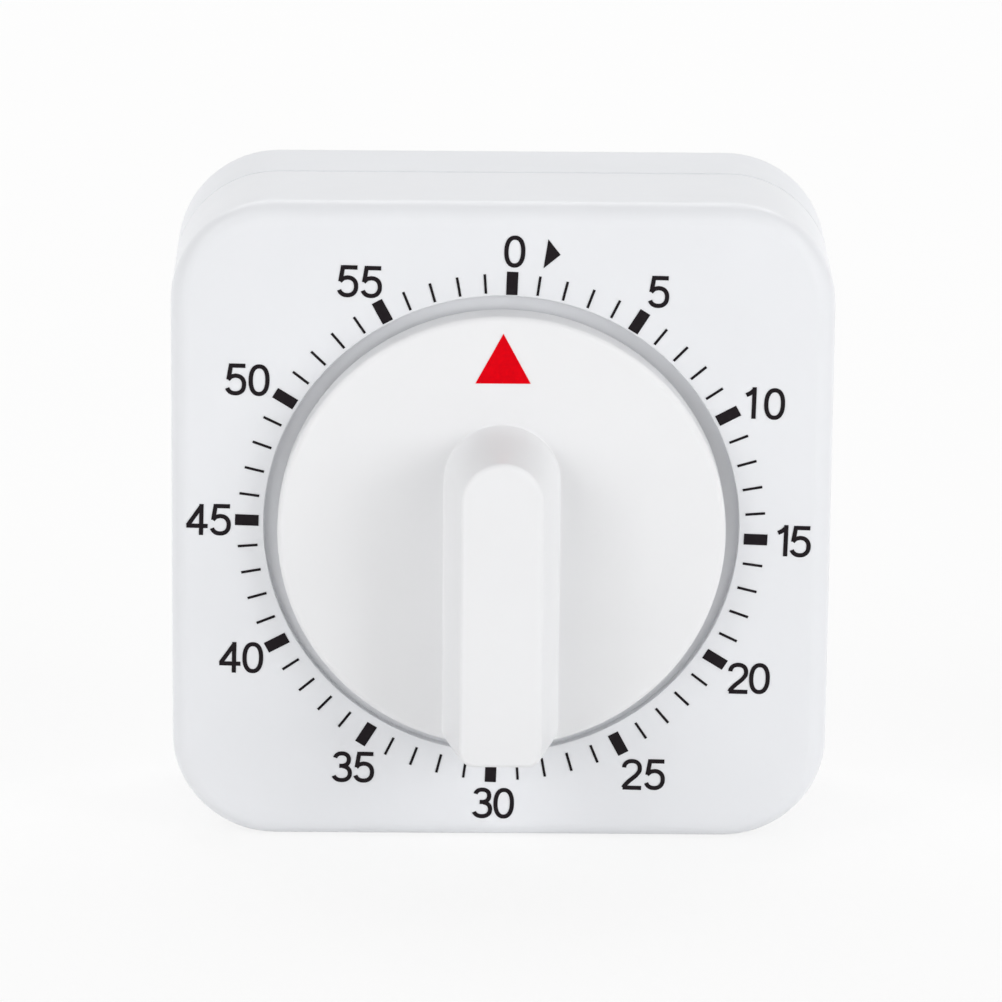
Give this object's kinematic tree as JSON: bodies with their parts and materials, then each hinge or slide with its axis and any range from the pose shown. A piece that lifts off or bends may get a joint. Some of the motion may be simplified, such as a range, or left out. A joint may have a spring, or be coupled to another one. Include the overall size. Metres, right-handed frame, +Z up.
{
  "type": "mechanical kitchen timer",
  "caption": "Square white mechanical kitchen timer: printed minute dial, turning knob with a ridge handle and red pointer, clockwork inside that strikes a gong when the set time is over.",
  "frame": {"origin": "on the bottom face, midway across the width and midway through the depth of the case", "axes": "+Z up, +X to the right as seen by someone reading the dial, the dial looks towards -Y, +Y towards the back"},
  "size_m": [0.07, 0.038, 0.07],
  "materials": {
    "case_plastic": "white moulded plastic, semi gloss",
    "cover_plastic": "white moulded plastic, semi gloss",
    "knob_plastic": "white moulded plastic, semi gloss",
    "dial_ink": "black pad printing",
    "pointer_red": "red pad printing",
    "screw_steel": "zinc plated steel",
    "magnet_ferrite": "pressed ferrite, ground face",
    "plate_brass": "stamped brass sheet",
    "wheel_brass": "cut brass",
    "arbor_steel": "turned steel",
    "pillar_steel": "plated steel",
    "spring_steel": "blue grey spring steel",
    "cam_plastic": "natural acetal",
    "gong_steel": "nickel plated steel"
  },
  "bodies": {
    "case": {"front_shell": "case_plastic", "rear_cover": "cover_plastic", "case_screws": "screw_steel", "holding_magnets": "magnet_ferrite", "dial_marks": "dial_ink", "front_plate": "plate_brass", "rear_plate": "plate_brass", "plate_pillars": "pillar_steel", "pillar_screws": "screw_steel", "mount_screws": "screw_steel", "front_bushing": "wheel_brass", "rear_bushing": "wheel_brass", "stop_pin": "arbor_steel", "mainspring": "spring_steel", "spring_post": "arbor_steel", "hammer_spring": "spring_steel", "spring_stud": "arbor_steel", "gong": "gong_steel", "gong_post": "pillar_steel", "gong_screw": "screw_steel"},
    "knob": {"knob": "knob_plastic", "pointer_mark": "pointer_red", "main_arbor": "arbor_steel", "stop_washer": "arbor_steel", "strike_cam": "cam_plastic", "ratchet_wheel": "arbor_steel", "arbor_clip": "spring_steel"},
    "main_wheel": {"main_wheel": "wheel_brass", "click_pins": "arbor_steel", "click_spring": "spring_steel"},
    "click": {"ratchet_click": "arbor_steel"},
    "second_wheel": {"second_arbor": "arbor_steel", "second_pinion": "arbor_steel", "second_wheel": "wheel_brass"},
    "third_wheel": {"third_arbor": "arbor_steel", "third_pinion": "arbor_steel", "third_wheel": "wheel_brass"},
    "escape_wheel": {"escape_arbor": "arbor_steel", "escape_pinion": "arbor_steel", "escape_wheel": "wheel_brass"},
    "anchor": {"anchor_arbor": "arbor_steel", "pallet_anchor": "arbor_steel", "inertia_bar": "pillar_steel"},
    "hammer": {"hammer_arbor": "arbor_steel", "strike_lever": "pillar_steel", "hammer_arm": "pillar_steel", "hammer_head": "arbor_steel"}
  },
  "joints": [
    {"name": "knob_turn", "type": "hinge", "parent": "case", "child": "knob", "pos_m": [0, 0, 0.035], "axis": [0, 1, 0], "range_deg": [0, 354], "deforming": ["mainspring"]},
    {"name": "main_wheel_turn", "type": "hinge", "parent": "case", "child": "main_wheel", "pos_m": [0, 0, 0.035], "axis": [0, 1, 0], "continuous": true},
    {"name": "click_lift", "type": "hinge", "parent": "main_wheel", "child": "click", "pos_m": [0.00497, 0, 0.04254], "axis": [0, -1, 0], "range_deg": [0, 8], "stiffness_Nm_per_rad": 0.00004, "springref_deg": -8.59, "deforming": ["click_spring"]},
    {"name": "second_turn", "type": "hinge", "parent": "case", "child": "second_wheel", "pos_m": [-0.01403, 0, 0.0431], "axis": [0, 1, 0], "continuous": true},
    {"name": "third_turn", "type": "hinge", "parent": "case", "child": "third_wheel", "pos_m": [-0.01729, 0, 0.03093], "axis": [0, 1, 0], "continuous": true},
    {"name": "escape_turn", "type": "hinge", "parent": "case", "child": "escape_wheel", "pos_m": [-0.01144, 0, 0.02257], "axis": [0, 1, 0], "continuous": true},
    {"name": "anchor_swing", "type": "hinge", "parent": "case", "child": "anchor", "pos_m": [-0.00486, 0, 0.01877], "axis": [0, 1, 0], "range_deg": [-4.5, 4.5]},
    {"name": "hammer_swing", "type": "hinge", "parent": "case", "child": "hammer", "pos_m": [0.0125, 0, 0.05], "axis": [0, 1, 0], "range_deg": [0, 4.2], "deforming": ["hammer_spring"]}
  ],
  "couplings": [
    {"joint": "main_wheel_turn", "follows": "knob_turn", "ratio": 1},
    {"joint": "second_turn", "follows": "knob_turn", "ratio": -8},
    {"joint": "third_turn", "follows": "knob_turn", "ratio": 64},
    {"joint": "escape_turn", "follows": "knob_turn", "ratio": -480}
  ]
}
